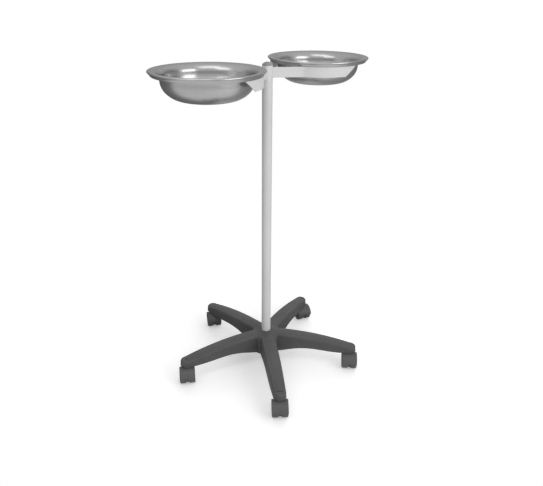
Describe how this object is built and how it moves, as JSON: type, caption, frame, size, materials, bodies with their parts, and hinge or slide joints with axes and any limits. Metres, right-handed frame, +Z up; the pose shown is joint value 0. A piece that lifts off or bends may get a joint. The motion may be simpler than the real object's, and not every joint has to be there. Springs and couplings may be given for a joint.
{
  "type": "double basin stand",
  "caption": "Mobile hospital stand: a five-star base with twin-wheel castors, a steel column and two cradles holding lift-out stainless basins.",
  "frame": {"origin": "on the column's axis at floor level, where the castors touch the floor", "axes": "+Z up along the column, +X from the column towards the centre of the right basin"},
  "size_m": [0.722, 0.5906, 0.9815],
  "materials": {
    "basin_steel": "satin spun stainless steel",
    "frame_paint": "light grey epoxy powder coat, semi-gloss",
    "plug_plastic": "mid grey moulded plastic",
    "base_nylon": "charcoal glass-filled nylon, fine grain",
    "wheel_nylon": "dark grey nylon tread",
    "castor_plastic": "charcoal moulded plastic",
    "hardware_steel": "zinc-plated steel"
  },
  "bodies": {
    "root": {"column_tube": "frame_paint", "column_plug": "plug_plastic", "column_insert": "hardware_steel", "base_washer": "hardware_steel", "base_bolt": "hardware_steel", "star_base": "base_nylon", "right_cradle_front_arm": "frame_paint", "right_cradle_rear_arm": "frame_paint", "left_cradle_front_arm": "frame_paint", "left_cradle_rear_arm": "frame_paint", "castor_1_stem": "hardware_steel", "castor_1_grip_ring": "hardware_steel", "castor_2_stem": "hardware_steel", "castor_2_grip_ring": "hardware_steel", "castor_3_stem": "hardware_steel", "castor_3_grip_ring": "hardware_steel", "castor_4_stem": "hardware_steel", "castor_4_grip_ring": "hardware_steel", "castor_5_stem": "hardware_steel", "castor_5_grip_ring": "hardware_steel"},
    "castor_1": {"castor_1_hood": "castor_plastic", "castor_1_axle": "hardware_steel"},
    "castor_1_left_wheel": {"castor_1_left_wheel": "wheel_nylon"},
    "castor_1_right_wheel": {"castor_1_right_wheel": "wheel_nylon"},
    "castor_2": {"castor_2_hood": "castor_plastic", "castor_2_axle": "hardware_steel"},
    "castor_2_left_wheel": {"castor_2_left_wheel": "wheel_nylon"},
    "castor_2_right_wheel": {"castor_2_right_wheel": "wheel_nylon"},
    "castor_3": {"castor_3_hood": "castor_plastic", "castor_3_axle": "hardware_steel"},
    "castor_3_left_wheel": {"castor_3_left_wheel": "wheel_nylon"},
    "castor_3_right_wheel": {"castor_3_right_wheel": "wheel_nylon"},
    "castor_4": {"castor_4_hood": "castor_plastic", "castor_4_axle": "hardware_steel"},
    "castor_4_left_wheel": {"castor_4_left_wheel": "wheel_nylon"},
    "castor_4_right_wheel": {"castor_4_right_wheel": "wheel_nylon"},
    "castor_5": {"castor_5_hood": "castor_plastic", "castor_5_axle": "hardware_steel"},
    "castor_5_left_wheel": {"castor_5_left_wheel": "wheel_nylon"},
    "castor_5_right_wheel": {"castor_5_right_wheel": "wheel_nylon"},
    "right_basin": {"right_basin": "basin_steel"},
    "left_basin": {"left_basin": "basin_steel"}
  },
  "joints": [
    {"name": "castor_1_swivel", "type": "hinge", "parent": "root", "child": "castor_1", "pos_m": [0.272, 0.08838, 0.04], "axis": [0, 0, 1], "continuous": true},
    {"name": "castor_1_left_wheel_spin", "type": "hinge", "parent": "castor_1", "child": "castor_1_left_wheel", "pos_m": [0.26563, 0.07262, 0.025], "axis": [0.9272, -0.3746, 0], "continuous": true},
    {"name": "castor_1_right_wheel_spin", "type": "hinge", "parent": "castor_1", "child": "castor_1_right_wheel", "pos_m": [0.26563, 0.07262, 0.025], "axis": [0.9272, -0.3746, 0], "continuous": true},
    {"name": "castor_2_swivel", "type": "hinge", "parent": "root", "child": "castor_2", "pos_m": [0, 0.286, 0.04], "axis": [0, 0, 1], "continuous": true},
    {"name": "castor_2_left_wheel_spin", "type": "hinge", "parent": "castor_2", "child": "castor_2_left_wheel", "pos_m": [-0.00901, 0.27158, 0.025], "axis": [0.848, -0.5299, 0], "continuous": true},
    {"name": "castor_2_right_wheel_spin", "type": "hinge", "parent": "castor_2", "child": "castor_2_right_wheel", "pos_m": [-0.00901, 0.27158, 0.025], "axis": [0.848, -0.5299, 0], "continuous": true},
    {"name": "castor_3_swivel", "type": "hinge", "parent": "root", "child": "castor_3", "pos_m": [-0.272, 0.08838, 0.04], "axis": [0, 0, 1], "continuous": true},
    {"name": "castor_3_left_wheel_spin", "type": "hinge", "parent": "castor_3", "child": "castor_3_left_wheel", "pos_m": [-0.28199, 0.07463, 0.025], "axis": [0.809, -0.5878, 0], "continuous": true},
    {"name": "castor_3_right_wheel_spin", "type": "hinge", "parent": "castor_3", "child": "castor_3_right_wheel", "pos_m": [-0.28199, 0.07463, 0.025], "axis": [0.809, -0.5878, 0], "continuous": true},
    {"name": "castor_4_swivel", "type": "hinge", "parent": "root", "child": "castor_4", "pos_m": [-0.16811, -0.23138, 0.04], "axis": [0, 0, 1], "continuous": true},
    {"name": "castor_4_left_wheel_spin", "type": "hinge", "parent": "castor_4", "child": "castor_4_left_wheel", "pos_m": [-0.17948, -0.24401, 0.025], "axis": [0.7431, -0.6691, 0], "continuous": true},
    {"name": "castor_4_right_wheel_spin", "type": "hinge", "parent": "castor_4", "child": "castor_4_right_wheel", "pos_m": [-0.17948, -0.24401, 0.025], "axis": [0.7431, -0.6691, 0], "continuous": true},
    {"name": "castor_5_swivel", "type": "hinge", "parent": "root", "child": "castor_5", "pos_m": [0.16811, -0.23138, 0.04], "axis": [0, 0, 1], "continuous": true},
    {"name": "castor_5_left_wheel_spin", "type": "hinge", "parent": "castor_5", "child": "castor_5_left_wheel", "pos_m": [0.15528, -0.24253, 0.025], "axis": [0.6561, -0.7547, 0], "continuous": true},
    {"name": "castor_5_right_wheel_spin", "type": "hinge", "parent": "castor_5", "child": "castor_5_right_wheel", "pos_m": [0.15528, -0.24253, 0.025], "axis": [0.6561, -0.7547, 0], "continuous": true},
    {"name": "right_basin_lift", "type": "slide", "parent": "root", "child": "right_basin", "axis": [0, 0, 1], "range_m": [0, 0.12]},
    {"name": "left_basin_lift", "type": "slide", "parent": "root", "child": "left_basin", "axis": [0, 0, 1], "range_m": [0, 0.12]}
  ]
}
